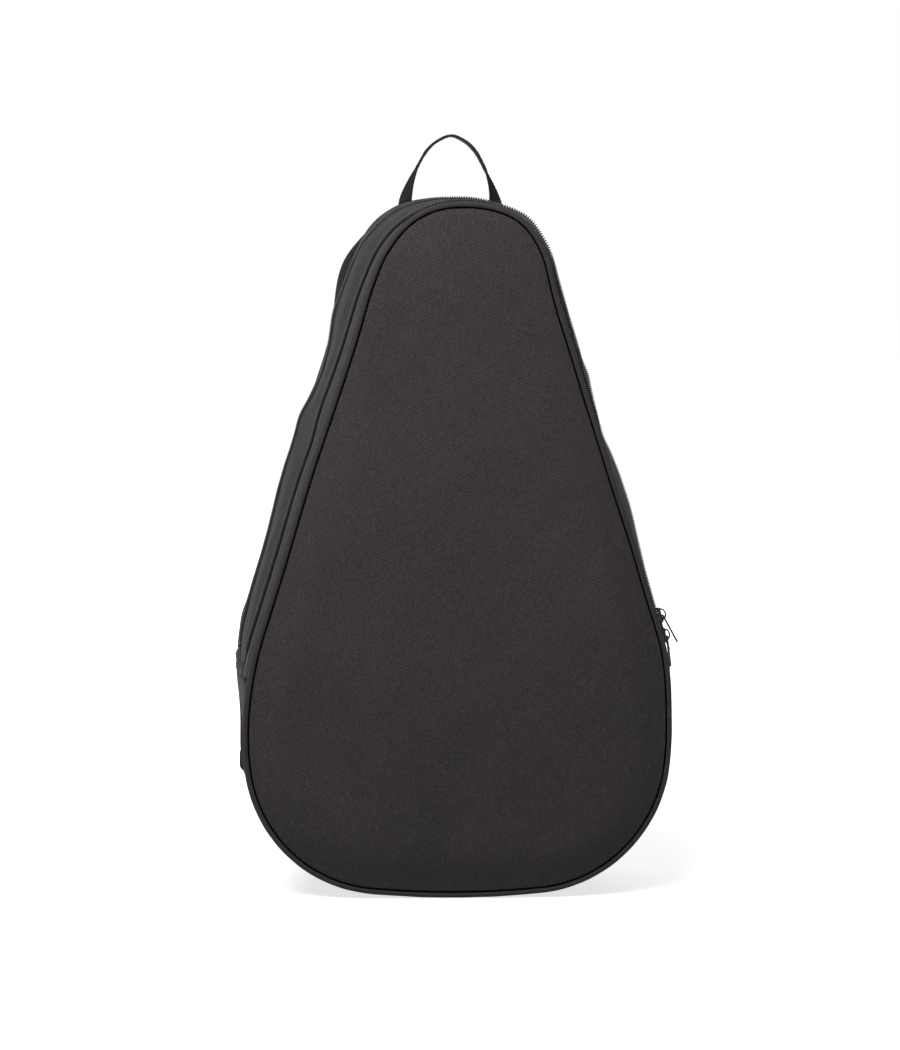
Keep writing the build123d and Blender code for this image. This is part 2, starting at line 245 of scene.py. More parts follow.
class Waves:
    """Smooth seeded unevenness in two coordinates, about -1 to 1."""

    def __init__(self, seed, period_a, period_b, terms=7):
        rng = np.random.default_rng(seed)
        spread = rng.uniform(0.6, 1.7, (terms, 2))
        self.ka = 2 * np.pi / (period_a * spread[:, 0])
        self.kb = 2 * np.pi / (period_b * spread[:, 1]) * rng.choice([-1, 1], terms)
        self.phase = rng.uniform(0, 2 * np.pi, terms)
        self.size = rng.uniform(0.5, 1, terms)

    def __call__(self, a, b):
        a, b = np.broadcast_arrays(a, b)
        total = np.zeros(a.shape)
        for ka, kb, phase, size in zip(self.ka, self.kb, self.phase, self.size):
            total += size * np.sin(ka * a + kb * b + phase)
        return total / self.size.sum() * 1.8


def curve_basis(knots, y):
    """Weights that carry values at the knots to each y, by a cubic through them."""
    knots = np.asarray(knots, float)
    y = np.clip(np.asarray(y, float), knots[0], knots[-1])
    count = len(knots)
    slope = np.zeros((count, count))
    for k in range(count):
        low, high = max(k - 1, 0), min(k + 1, count - 1)
        slope[k, high] += 1 / (knots[high] - knots[low])
        slope[k, low] -= 1 / (knots[high] - knots[low])
    span = np.clip(np.searchsorted(knots, y, side="right") - 1, 0, count - 2)
    width = knots[span + 1] - knots[span]
    t = (y - knots[span]) / width
    basis = np.zeros((len(y), count))
    rows = np.arange(len(y))
    basis[rows, span] += 2 * t**3 - 3 * t**2 + 1
    basis[rows, span + 1] += -2 * t**3 + 3 * t**2
    basis += ((t**3 - 2 * t**2 + t) * width)[:, None] * slope[span]
    basis += ((t**3 - t**2) * width)[:, None] * slope[span + 1]
    return basis.T


# ---------------------------------------------------------------- the shape of the shell

# Depths at which each surface's lift is given; a smooth curve joins them.
SKIN_Y = (-50, -48, -45, -39, -36, -22, -8, 0, 8, 26, 43, 47)
gusset_waves = Waves(11, 95, 60)
small_waves = Waves(12, 30, 26)


def right_swell(z):
    """How far the crest stands out of its drawn outline on the right, where a long dip runs below the crown."""
    dip = 2.3 * ease(z, 335, 352) * (1 - ease(z, 424, 440)) + 2.0 * bump(z, 312, 18) + 1.2 * bump(z, 299, 7)
    return 2.0 * bump(z, 252, 18) - dip


def skin(s, y):
    """The lift of the outer cloth above the zip ends. s (n,), y (m,); the result is (n, m)."""
    p = at(s, LOOP_P)
    gap = at(s, LOOP_GAP)
    left = ease(-p[:, 0], 25, 70)
    z = p[:, 1]
    rear = at(s, LOOP_REAR)
    crest = gap - 2.05 + left * bumps(z, CREST_LEFT) + (1 - left) * right_swell(z)
    crest = crest + 1.8 * ease(z, 430, 452) * (1 - 0.8 * ease(p[:, 0], 8, 34))
    rise = left * (3.7 + 0.9 * bump(z, 318, 16) - 0.9 * bump(z, 296, 10)) - (1 - left) * at(s, LOOP_SWAY)
    front = 3.2 + rise
    shoulder = (front + crest) / 2 + 1.6 * ease(crest, 3, 9) - left * 1.2 * bump(z, 300, 16)
    behind = crest * 0.55 + 0.7 + 2.6 * ease(crest, 1, 9) + 0.4 * rear
    values = [0.4 + 0 * z, 2.0 + 0.5 * rise, 2.75 + rise, 3.0 + rise, front, shoulder]
    values += [crest + 0.15, crest, crest + 0.15, behind, 1.6 + rear, 0.6 + rear]
    values = np.stack(values, 1)
    lift = values @ curve_basis(SKIN_Y, y)
    y = y[None, :]
    free = ease(y, -40, -26) * (1 - ease(y, 30, 42))
    uneven = 0.55 * gusset_waves(s[:, None], y) + 0.18 * small_waves(s[:, None], y)
    pleat = bump(z, 178, 14)[:, None] * 0.5 * np.sin((y + 0.12 * s[:, None]) / 2.1)
    right_quiet = 1 - 0.8 * ease(p[:, 0], 60, 110)[:, None] * (1 - ease(z, 196, 240)[:, None])
    track = 1 - bump(y, 0, 5)
    return lift + free * right_quiet * (uneven * (0.35 + 0.65 * track) + 0.5 * left[:, None] * pleat * track)


LOWER_Y = (-50, -47.5, -42, -20, 0, 20, 39, 44.5, 47)
lower_waves = Waves(21, 80, 50)


def lower_skin(s, y):
    """The cloth under and behind the side pockets, down to the flat sole."""
    z = at(s, LOOP_P)[:, 1]
    low = 1 - ease(z, 20, 46)
    rear = at(s, LOOP_REAR)
    middle = ((2.6, 0), (4.2, 0), (5.2, 0), (5.4, 0), (5.2, 0), (4.2, 0.3), (2.6, 0.8))
    middle = [-2 + rise * low + follow * rear for rise, follow in middle]
    values = np.stack([0.2 + 0 * z, *middle, 0.2 + rear], 1)
    lift = values @ curve_basis(LOWER_Y, y)
    y = y[None, :]
    return lift + 0.35 * lower_waves(s[:, None], y) * ease(z, 8, 30)[:, None] * bump(y, 0, 26)


POCKET_Y = (-47.6, -46, -41, -28, 0, 26, 38, 43, 44.6)
pocket_waves = Waves(31, 46, 34)


def pocket_skin(s, y):
    """The lift of a side pocket's outside, from its foot up to its hem."""
    p = at(s, LOOP_P)
    z = p[:, 1]
    left = ease(-p[:, 0], 25, 70)
    gap = np.maximum(at(s, LOOP_GAP), 1.6)
    full = gap + left * 0.4 * ease(z, 118, 150) - left * 2.0 * bump(z, 106, 16)
    shape = np.array([0, 0.30, 0.62, 0.93, 1.0, 0.93, 0.62, 0.30, 0])
    values = 1.3 + (full[:, None] - 1.3) * shape[None, :]
    lift = values @ curve_basis(POCKET_Y, y)
    y = y[None, :]
    lift = lift + at(s, LOOP_REAR)[:, None] * ease(y, 28, 43)
    inside = bump(y, 0, 24)
    foot = ease(z, 46, 64)[:, None]
    gather = ease(z, 138, 152)[:, None] * 0.28 * np.sin(y / 1.15 + 0.5 * pocket_waves(s[:, None], y))
    return lift + foot * inside * 0.7 * pocket_waves(s[:, None], y) + gather * bump(y, 0, 30)


# ---------------------------------------------------------------- mesh making

def in_scene(name, data):
    """A new object for the data, linked into the scene."""
    made = bpy.data.objects.new(name, data)
    bpy.context.scene.collection.objects.link(made)
    return made


def new_mesh(name, points, faces, uv):
    """A smooth mesh object from points in mm, an (n, 4) face table and a uv in mm for each corner.

    A face that repeats its last corner is a triangle.
    """
    mesh = bpy.data.meshes.new(name)
    points = points.reshape(-1, 3) * MM
    quads = faces[:, 2] != faces[:, 3]
    sizes = np.where(quads, 4, 3).astype(np.int32)
    keep = np.ones(faces.shape, bool)
    keep[~quads, 3] = False
    starts = np.concatenate([[0], np.cumsum(sizes)[:-1]]).astype(np.int32)
    mesh.vertices.add(len(points))
    mesh.vertices.foreach_set("co", points.astype(np.float32).ravel())
    mesh.loops.add(int(sizes.sum()))
    mesh.loops.foreach_set("vertex_index", faces[keep].astype(np.int32))
    mesh.polygons.add(len(faces))
    mesh.polygons.foreach_set("loop_start", starts)
    mesh.polygons.foreach_set("loop_total", sizes)
    layer = mesh.uv_layers.new(name="cloth")
    layer.data.foreach_set("uv", uv.reshape(-1, 4, 2)[keep].astype(np.float32).ravel())
    mesh.update(calc_edges=True)
    mesh.validate()
    mesh.polygons.foreach_set("use_smooth", np.ones(len(mesh.polygons), bool))
    return in_scene(name, mesh)


def outward(piece, weld=False):
    """Faces turned outward, and doubled points joined where two edges meet."""
    work = bmesh.new()
    work.from_mesh(piece.data)
    if weld:
        bmesh.ops.remove_doubles(work, verts=work.verts, dist=2e-5)
    bmesh.ops.recalc_face_normals(work, faces=work.faces)
    work.to_mesh(piece.data)
    work.free()
    return piece


def grid_faces(n, m, round_n, round_m):
    """The row and column of each cell in an (n, m) grid of points, closed round either way, and its corners."""
    rows = np.arange(n if round_n else n - 1)
    columns = np.arange(m if round_m else m - 1)
    a, b = np.meshgrid(rows, columns, indexing="ij")
    a, b = a.ravel(), b.ravel()
    a1, b1 = (a + 1) % n, (b + 1) % m
    return a, b, np.stack([a * m + b, a1 * m + b, a1 * m + b1, a * m + b1], 1)


def grid(name, points, round_u=False):
    """A skin over an (n, m, 3) grid, closed round m; along n it closes too or ends in fans."""
    n, m = points.shape[:2]
    a, b, faces = grid_faces(n, m, round_u, True)
    wrapped_u = np.concatenate([points, points[:1]])
    wrapped_v = np.concatenate([points, points[:, :1]], 1)
    u = np.concatenate([[0], np.cumsum(np.linalg.norm(np.diff(wrapped_u, axis=0), axis=2).mean(1))])
    v = np.concatenate([[0], np.cumsum(np.linalg.norm(np.diff(wrapped_v, axis=1), axis=2).mean(0))])
    uv = np.stack([u[a], v[b], u[a + 1], v[b], u[a + 1], v[b + 1], u[a], v[b + 1]], 1)
    points = points.reshape(-1, 3)
    if not round_u:
        k = np.arange(m)
        zero = np.zeros(m)
        fan_uv = np.stack([zero, v[k], zero, v[k + 1], zero, v[k], zero, v[k]], 1)
        middles = []
        for row in (0, n - 1):
            middle = np.full(m, len(points) + len(middles))
            middles.append(points[row * m : (row + 1) * m].mean(0))
            faces = np.concatenate([faces, np.stack([row * m + k, row * m + (k + 1) % m, middle, middle], 1)])
            uv = np.concatenate([uv, fan_uv])
        points = np.concatenate([points, middles])
    return outward(new_mesh(name, points, faces, uv))


def rings(name, points, uv_shift=0.0):
    """A flat piece from an (n, m, 3) grid whose m rings start and end in one place, its uv its x and z."""
    faces = grid_faces(*points.shape[:2], True, False)[2]
    uv = points.reshape(-1, 3)[faces][:, :, [0, 2]] + np.array([uv_shift, 0.0])
    return outward(new_mesh(name, points, faces, uv), weld=True)


def strip_loop(low_y, high_y, thick, count, hem=0.0):
    """A strip's closed cross-section as (y, lift off its surface): outside, turned edge, inside, turned edge."""
    y = np.linspace(low_y + thick / 2, high_y - thick / 2, count)
    edge = hem * (bump(y, low_y + 1.6, 1.1) + bump(y, high_y - 1.6, 1.1))
    outside = np.stack([y, edge], 1)
    turn = ((0.15, -0.15), (0, -0.5), (0.15, -0.85))
    high = np.array([[high_y - back * thick, drop * thick] for back, drop in turn])
    inside = np.stack([y[::-1], -thick + 0 * y], 1)
    low = np.array([[low_y + back * thick, drop * thick] for back, drop in turn[::-1]])
    return np.concatenate([outside, high, inside, low])


def strip(name, surface, s, loop):
    """A cloth strip along the shell: its cross-section carried along s on a surface."""
    lift = surface(s, loop[:, 0]) + loop[:, 1][None, :]
    return grid(name, place(s, loop[:, 0][None, :], lift))


WIRE_SIDES = 5


def tubes(name, paths, radius):
    """Many short round wires in one mesh: paths is (k, n, 3) in mm."""
    k, n = paths.shape[:2]
    forward = np.gradient(paths, axis=1)
    forward /= np.linalg.norm(forward, axis=2, keepdims=True) + 1e-12
    upright = np.abs(forward[..., 2]) > 0.9
    helper = np.zeros_like(forward)
    helper[..., 2] = np.where(upright, 0, 1)
    helper[..., 0] = np.where(upright, 1, 0)
    side = np.cross(forward, helper)
    side /= np.linalg.norm(side, axis=2, keepdims=True) + 1e-12
    up = np.cross(side, forward)
    angle = np.linspace(0, 2 * np.pi, WIRE_SIDES, endpoint=False)[None, None, :, None]
    radii = np.full(n, radius)
    radii[0] = radii[-1] = radius * 0.55
    ring = side[:, :, None] * np.cos(angle) + up[:, :, None] * np.sin(angle)
    points = paths[:, :, None] + ring * radii[None, :, None, None]
    one = grid_faces(n, WIRE_SIDES, False, True)[2]
    tip = np.array([[0, 1, 2, 2], [0, 2, 3, 3], [0, 3, 4, 4]])
    one = np.concatenate([one, tip, tip[:, [0, 2, 1, 1]] + (n - 1) * WIRE_SIDES])
    faces = (one[None] + (np.arange(k) * n * WIRE_SIDES)[:, None, None]).reshape(-1, 4)
    return outward(new_mesh(name, points, faces, np.zeros((len(faces), 8))))


# ---------------------------------------------------------------- materials

def material(name, roughness, build=None, color=(0.03, 0.03, 0.03), **sockets):
    """A material with plain values in the named sockets, and the nodes that build adds."""
    made = bpy.data.materials.new(name)
    made.use_nodes = True
    shader = made.node_tree.nodes["Principled BSDF"]
    shader.inputs["Base Color"].default_value = (*color, 1)
    shader.inputs["Roughness"].default_value = roughness
    for socket, value in sockets.items():
        shader.inputs[socket.replace("_", " ")].default_value = value
    if build:
        build(Nodes(made.node_tree), shader)
    return made


# Cloth texture sizes in mm: one yarn's visible length and width, and the space between twill lines
YARN_CELL = (1.15, 0.75, 1.0)
TWILL_PITCH = 1.36


class Nodes:
    """Short calls for the node arithmetic that the materials share."""

    def __init__(self, tree):
        self.tree = tree

    def new(self, kind, **fields):
        node = self.tree.nodes.new(kind)
        for field, value in fields.items():
            setattr(node, field, value)
        return node

    def link(self, source, socket):
        self.tree.links.new(source, socket)

    def put(self, value, socket):
        if isinstance(value, bpy.types.NodeSocket):
            self.link(value, socket)
        else:
            socket.default_value = value

    def math(self, operation, a, b=0.0, c=0.0):
        node = self.new("ShaderNodeMath", operation=operation)
        for value, socket in zip((a, b, c), node.inputs):
            self.put(value, socket)
        return node.outputs[0]

    def cloth(self):
        return self.new("ShaderNodeUVMap", uv_map="cloth").outputs[0]

    def where(self):
        return self.new("ShaderNodeTexCoord").outputs["Object"]

    def wave(self, coordinate, angle, period):
        """A sine from -1 to 1 along one direction, its period in the coordinate's unit."""
        dot = self.new("ShaderNodeVectorMath", operation="DOT_PRODUCT")
        self.link(coordinate, dot.inputs[0])
        turn = math.radians(angle)
        dot.inputs[1].default_value = (math.cos(turn) * math.tau / period, math.sin(turn) * math.tau / period, 0)
        return self.math("SINE", dot.outputs["Value"])

    def noise(self, coordinate, scale, detail=2.0, stretch=(1, 1, 1)):
        mapping = self.new("ShaderNodeMapping")
        self.link(coordinate, mapping.inputs["Vector"])
        mapping.inputs["Scale"].default_value = stretch
        node = self.new("ShaderNodeTexNoise")
        self.link(mapping.outputs[0], node.inputs["Vector"])
        node.inputs["Scale"].default_value = scale
        node.inputs["Detail"].default_value = detail
        return node.outputs["Fac"]

    def yarns(self, coordinate):
        """An even random value from 0 to 1 for each short length of yarn along the diagonal."""
        mapping = self.new("ShaderNodeMapping")
        self.link(coordinate, mapping.inputs["Vector"])
        mapping.inputs["Rotation"].default_value = (0, 0, math.radians(-45))
        snap = self.new("ShaderNodeVectorMath", operation="SNAP")
        self.link(mapping.outputs[0], snap.inputs[0])
        snap.inputs[1].default_value = YARN_CELL
        node = self.new("ShaderNodeTexWhiteNoise", noise_dimensions="2D")
        self.link(snap.outputs["Vector"], node.inputs["Vector"])
        return node.outputs["Value"]

    def vary(self, shade, *pairs):
        """A shade plus each noise's distance from its middle, times its weight."""
        for noise, weight in pairs:
            shade = self.math("ADD", shade, self.math("MULTIPLY", self.math("SUBTRACT", noise, 0.5), weight))
        return shade

    def ramp(self, value, low, high, first, last):
        """A smooth step from first, where the value is low, to last, where it is high."""
        node = self.new("ShaderNodeMapRange", interpolation_type="SMOOTHSTEP")
        self.link(value, node.inputs["Value"])
        for socket, limit in zip(("From Min", "From Max", "To Min", "To Max"), (low, high, first, last)):
            node.inputs[socket].default_value = limit
        return node.outputs[0]

    def tint(self, color, factor, shader):
        """The base colour times a grey factor."""
        mix = self.new("ShaderNodeVectorMath", operation="SCALE")
        mix.inputs[0].default_value = color
        self.put(factor, mix.inputs["Scale"])
        self.link(mix.outputs[0], shader.inputs["Base Color"])

    def bump(self, height, distance, strength, shader):
        node = self.new("ShaderNodeBump")
        node.inputs["Distance"].default_value = distance
        node.inputs["Strength"].default_value = strength
        self.link(height, node.inputs["Height"])
        self.link(node.outputs[0], shader.inputs["Normal"])


def woven(
    name, color, pitch=0.62, twill=0.0, twill_angle=-40, roughness=0.82, sheen=0.12, speck=0.5, depth=0.00016
):
    """Matt yarn cloth: over-and-under yarns, a dotted diagonal, yarn specks and slow patches of shade."""

    def build(n, shader):
        uv = n.cloth()
        weave = n.math("MULTIPLY", n.wave(uv, 0, 2 * pitch), n.wave(uv, 90, 2 * pitch))
        diagonal = n.wave(uv, twill_angle, TWILL_PITCH)
        dots = n.wave(uv, twill_angle + 90, 1.4 * TWILL_PITCH)
        diagonal = n.math("MULTIPLY", diagonal, n.math("MULTIPLY_ADD", dots, 0.55, 1.0))
        yarns = n.yarns(uv)
        flecks = n.noise(uv, 0.85, 2.0)
        slubs = n.noise(uv, 0.55, 2.0, (1.0, 0.16, 1.0))
        patches = n.noise(n.where(), 11.0, 2.0)
        shade = n.math("MULTIPLY_ADD", weave, 0.16, 1.0)
        shade = n.math("ADD", shade, n.math("MULTIPLY", diagonal, twill))
        shade = n.vary(shade, (flecks, speck), (yarns, 0.7 * speck), (slubs, 0.5 * speck), (patches, 0.5))
        n.tint(color, shade, shader)
        height = n.math("ADD", n.math("MULTIPLY", weave, 0.5), n.math("MULTIPLY", diagonal, 0.3 * twill))
        height = n.math("ADD", height, n.math("MULTIPLY", flecks, 0.3))
        n.bump(height, depth, 0.7, shader)
        rough = n.math("MULTIPLY_ADD", flecks, 0.16, roughness - 0.08)
        n.link(rough, shader.inputs["Roughness"])

    return material(name, roughness, build, Sheen_Weight=sheen, Sheen_Roughness=0.45, Specular_IOR_Level=0.3)


def ribbed(name, color, rib=1.9, column=2.6, roughness=0.74):
    """Webbing: columns of yarn along it and fine ribs across."""

    def build(n, shader):
        uv = n.cloth()
        ribs = n.wave(uv, 0, rib)
        columns = n.wave(uv, 90, column)
        flecks = n.noise(uv, 1.6, 2.0)
        shade = n.math("MULTIPLY_ADD", n.math("MULTIPLY", ribs, columns), 0.4, 1.0)
        shade = n.math("MULTIPLY_ADD", ribs, 0.4, shade)
        n.tint(color, n.vary(shade, (flecks, 0.5)), shader)
        height = n.math("ADD", n.math("MULTIPLY", ribs, 0.5), n.math("MULTIPLY", columns, 0.4))
        n.bump(height, 0.00022, 0.8, shader)
        n.link(n.math("MULTIPLY_ADD", flecks, 0.15, roughness - 0.07), shader.inputs["Roughness"])

    return material(name, roughness, build, Specular_IOR_Level=0.25)


def moulded(name, color, roughness, grain, depth, **sockets):
    """Plastic or enamelled metal with a fine grain, its roughness a little uneven."""

    def build(n, shader):
        where = n.where()
        fine = n.noise(where, grain, 3.0)
        slow = n.noise(where, 90.0, 2.0)
        n.tint(color, n.math("MULTIPLY_ADD", slow, 0.5, 0.75), shader)
        n.bump(fine, depth, 0.6, shader)
        n.link(n.math("MULTIPLY_ADD", slow, 0.25, roughness - 0.12), shader.inputs["Roughness"])

    return material(name, roughness, build, **sockets)


PANEL_CLOTH = woven("panel_cloth", (0.0412, 0.0345, 0.0341), twill=0.8, speck=0.85)
PIPING_CLOTH = woven("piping_cloth", (0.0390, 0.0355, 0.0350), pitch=0.55, twill=0.14, speck=0.5, sheen=0.1)
GUSSET_CLOTH = woven("gusset_cloth", (0.0380, 0.0357, 0.0357), pitch=0.55, twill=0.08, speck=0.6, sheen=0.08)
STRAP_CLOTH = woven("strap_cloth", (0.0340, 0.0315, 0.0315), pitch=0.6, twill=0.2, speck=0.6)
LINING_CLOTH = woven("lining_cloth", (0.055, 0.055, 0.057), pitch=0.3, speck=0.25, roughness=0.6, depth=0.00005)
TAPE_KNIT = woven("zip_tape", (0.056, 0.054, 0.054), pitch=0.45, twill=0.16, twill_angle=0, speck=0.5, sheen=0.2)
WEBBING = ribbed("webbing", (0.016, 0.0155, 0.0155))
# Painted shade: a near-black material for the cords laid in the seam grooves
PAINTED_SEAM_SHADE = material("painted_seam_shade", 1.0, color=(0.002, 0.002, 0.002), Specular_IOR_Level=0.0)
THREAD = material("thread", 0.6, color=(0.03, 0.028, 0.028), Sheen_Weight=0.1)
COIL_PLASTIC = moulded("zip_coil", (0.066, 0.064, 0.064), 0.42, 900, 0.00002, Specular_IOR_Level=0.3)
ZIP_METAL = moulded("zip_metal", (0.007, 0.007, 0.007), 0.42, 700, 0.00003, Specular_IOR_Level=0.4)
LOCK_PLASTIC = moulded("moulded_plastic", (0.022, 0.022, 0.023), 0.46, 1500, 0.00004)


def finish_piece(piece, made, replaced=(), body="case", fold=None):
    """Gives a piece its material, hides the CAD nodes it replaces, and attaches it to its body, or bakes its
    placement into its mesh when a fold is given.
    """
    piece.data.materials.clear()
    piece.data.materials.append(made)
    if replaced:
        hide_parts(*replaced)
    if fold:
        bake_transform(piece)
    else:
        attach(piece, body)
    return piece


FLAP_FOLD = ("case", "front_flap", *FOLD)


# ---------------------------------------------------------------- piping

PIPING_RADIUS = 1.92
whole_way = np.linspace(0, LENGTH, 900)
FRONT_EDGE = 0 * LOOP_S


def round_cord(name, depth, beyond, size, size_out):
    """A cord right round the bag: its depth, its middle beyond the seam line, and its size in y and outward."""
    angle = np.linspace(0, 2 * np.pi, size.shape[1], endpoint=False)
    y = depth - size * np.cos(angle)[None, :]
    out = beyond[:, None] + size_out * np.sin(angle)[None, :]
    return grid(name, place(whole_way[:-1], y, out), round_u=True)


def piping(name, depth, beyond):
    """A sewn cord whose middle is PIPING_LIFT beyond the given edge."""
    angle = np.linspace(0, 2 * np.pi, 14, endpoint=False)
    s = whole_way[:-1]
    size = PIPING_RADIUS + 0.07 * Waves(int(abs(depth)), 24, 5)(s[:, None], angle[None, :] * 2)
    return round_cord(name, depth, PIPING_LIFT + at(s, beyond), size, size)


def seam_shade_cord(name, depth, beyond):
    """A near-black cord in the groove between a panel and its piping: painted shade for the groove's shadow."""
    return round_cord(name, depth, at(whole_way[:-1], beyond) - 0.42, np.full((1, 8), 0.6), 0.62)


cord = piping("Front_Piping", FRONT_Y, FRONT_EDGE)
finish_piece(cord, PIPING_CLOTH, ("front_piping_lower", "front_piping_upper"), fold=FLAP_FOLD)
# Painted shade: near-black cords in the front and rear seam grooves, where the groove is in shadow
finish_piece(seam_shade_cord("Front_Seam_Shade", -51.1, FRONT_EDGE), PAINTED_SEAM_SHADE, fold=FLAP_FOLD)
finish_piece(seam_shade_cord("Rear_Seam_Shade", 48.1, LOOP_REAR), PAINTED_SEAM_SHADE)
finish_piece(piping("Rear_Piping", REAR_Y, LOOP_REAR), PIPING_CLOTH, ("rear_piping",))


# ---------------------------------------------------------------- panels

# Every spoke of a panel runs from its edge to a point on an upright line between these heights.
SPINE_LOW, SPINE_HIGH = 128, 402
# Distances in from the edge where the first rings lie, close together where the cloth turns into the seam
NEAR = np.array([0, 0.6, 1.0, 1.2, 1.4, 1.65, 1.95, 2.4, 3.1, 4.2, 6, 9, 13])


def panel_grid(inset, beyond, stations=520, far_rings=20):
    """Rings of points shrinking from the sewn edge to the panel's spine: (x, z, distance in from the edge)."""
    s = np.linspace(0, LENGTH, stations, endpoint=False)
    normal = at(s, LOOP_N)
    edge = at(s, LOOP_P) + normal * (at(s, beyond) - inset)[:, None]
    nx = np.where(np.abs(normal[:, 0]) < 0.05, 1e9, normal[:, 0])
    hit = edge[:, 1] - edge[:, 0] / nx * normal[:, 1]
    hit = np.where(edge[:, 1] < 70, SPINE_LOW, np.where(edge[:, 1] > 436, SPINE_HIGH, hit))
    hit = smooth(np.clip(hit, SPINE_LOW, SPINE_HIGH), 6)
    spoke = np.stack([-edge[:, 0], hit - edge[:, 1]], 1)
    length = np.linalg.norm(spoke, axis=1)
    spoke /= length[:, None]
    share = (np.arange(1, far_rings + 1) / far_rings) ** 1.15
    far = NEAR[-1] + (length[:, None] - NEAR[-1]) * share[None, :]
    distance = np.concatenate([np.broadcast_to(NEAR, (stations, len(NEAR))), far], 1)
    x = edge[:, None, 0] + spoke[:, None, 0] * distance
    z = edge[:, None, 1] + spoke[:, None, 1] * distance
    return x, z, distance


def padded_panel(name, inset, outer, inner, beyond=FRONT_EDGE):
    """A closed pad: outer and inner give y from (x, z, distance)."""
    x, z, distance = panel_grid(inset, beyond)
    front = np.stack([x, outer(x, z, distance), z], -1)
    back = np.stack([x, inner(x, z, distance), z], -1)
    return rings(name, np.concatenate([front[:, ::-1], back], 1), 400.0)


panel_waves = Waves(41, 150, 120)
panel_ripples = Waves(42, 46, 38)
back_waves = Waves(43, 120, 90)
lining_waves = Waves(44, 90, 70)
# How far in from its edge the front panel is hidden in the seam
TUCKED = 1.0


def crease(x, z, foot_x, lean, width):
    """A fold that rises from foot_x at the foot of the panel and leans with height."""
    return bump((x - foot_x + lean * (z - 60)) / width, 0, 1)


def front_face(x, z, d):
    """The front cloth over its foam: tucked into the seam, then flat with a slight crown and a rolled foot."""
    shown = np.maximum(d - TUCKED, 0)
    tuck = 3.2 * np.exp(-((shown / 0.55) ** 2))
    crown = 1.1 * (1 - np.exp(-shown / 1.6)) + 0.7 * (1 - np.exp(-shown / 8)) + 2.0 * (1 - np.exp(-shown / 34))
    foot = 1 - (np.clip(45 - z, 0, 43) / 43) ** 2
    belly = 7.6 * foot * (1 - ease(z, 90, 400)) * ease(shown, 0.2, 24)
    uneven = (1.5 * panel_waves(x, z) + 0.3 * panel_ripples(x, z)) * ease(d, 3, 40)
    uneven = uneven + 1.9 * crease(x, z, -40, 0.45, 9) * ease(d, 2, 16) * (1 - ease(z, 60, 120))
    uneven = uneven - 1.7 * crease(x, z, -5, -0.3, 12) * ease(d, 2, 16) * (1 - ease(z, 70, 140))
    return -50.6 + tuck - crown - belly - uneven


def front_inside(x, z, d):
    """The back of the front pad."""
    return -46.4 - 0.6 * np.exp(-((d / 2) ** 2)) + 0 * x


finish_piece(
    padded_panel("Front_Panel", -1.4, front_face, front_inside),
    PANEL_CLOTH,
    ("front_panel_upper", "front_panel_lower", "front_foam_upper", "front_foam_lower"),
    fold=FLAP_FOLD,
)


def back_face(x, z, d):
    """The panel against the wearer's back: a quilted channel runs parallel to its edge."""
    tuck = 2.0 * np.exp(-((d / 1.3) ** 2))
    channel = 1.5 * bump(d, 30, 1.7)
    return 49.0 - tuck - channel + 0.15 * back_waves(x, z) * ease(d, 3, 20)


def back_inside(x, z, d):
    """The inside of the back pad, nearer the shell at its edge."""
    return 41.8 + 3.5 * np.exp(-((d / 3) ** 2))


back = padded_panel("Back_Panel", -0.6, back_face, back_inside, LOOP_REAR)
finish_piece(back, PANEL_CLOTH, ("back_panel", "back_foam"))


def waving(depth, size):
    """A thin lining's face: flat at a depth but for slow waves."""
    return lambda x, z, d: depth + size * lining_waves(x, z)


divider = padded_panel("Divider", 5.6, waving(-36.0, 0.25), waving(-35.0, 0.25))
finish_piece(divider, LINING_CLOTH, ("divider_upper", "divider_lower"), fold=FLAP_FOLD)
lining = padded_panel("Back_Lining", 5.6, waving(40.9, 0.2), waving(40.1, 0.2), LOOP_REAR)
finish_piece(lining, LINING_CLOTH, ("back_lining",))


# ---------------------------------------------------------------- gussets and zips

# The upper gussets and tapes run on down behind the side pockets' hems, to this height.
UNDER_HEM_Z = 144
GUSSET_THICK = 1.1
gusset_run = around(UNDER_HEM_Z, 1.6)
tape_run = around(UNDER_HEM_Z, 2.2)

for name, section, nodes, fold in (
    ("Front_Gusset", (-38.4, -4.4, GUSSET_THICK, 36), ("front_gusset", "front_gusset_ends"), FLAP_FOLD),
    ("Rear_Gusset", (4.4, 46.2, GUSSET_THICK, 38), ("rear_gusset",), None),
):
    gusset = strip(name, skin, gusset_run, strip_loop(*section, hem=0.35))
    finish_piece(gusset, GUSSET_CLOTH, nodes, fold=fold)

TAPE_THICK = 0.6
TAPE_DROP = 0.75
for name, low_y, high_y, nodes, fold in (
    ("Pocket_Zip_Tape_Outer", -48.6, -42.15, ("pocket_zip_tape_outer",), FLAP_FOLD),
    ("Pocket_Zip_Tape_Inner", -41.85, -36.2, ("pocket_zip_tape_inner", "pocket_zip_tape_ends"), FLAP_FOLD),
    ("Main_Zip_Tape_Front", -7.6, -0.15, ("main_zip_tape_front", "main_zip_tape_front_ends"), FLAP_FOLD),
    ("Main_Zip_Tape_Rear", 0.15, 7.6, ("main_zip_tape_rear",), None),
):
    section = strip_loop(low_y, high_y, TAPE_THICK, 10)
    section[:, 1] -= TAPE_DROP
    finish_piece(strip(name, skin, tape_run, section), TAPE_KNIT, nodes, fold=fold)

# One rib of a coil as (distance to its own side of the zip's middle, lift), from its tail to its head
RIB = np.array([[2.75, 0.1], [2.75, 1.3], [2.0, 2.1], [0.3, 1.8], [-0.55, 1.3], [-0.5, 0.6]])
WIRE_RADIUS = 0.42
# The side in front stands this much higher than the zip's middle, and the other this much lower.
COIL_STAGGER = 0.3


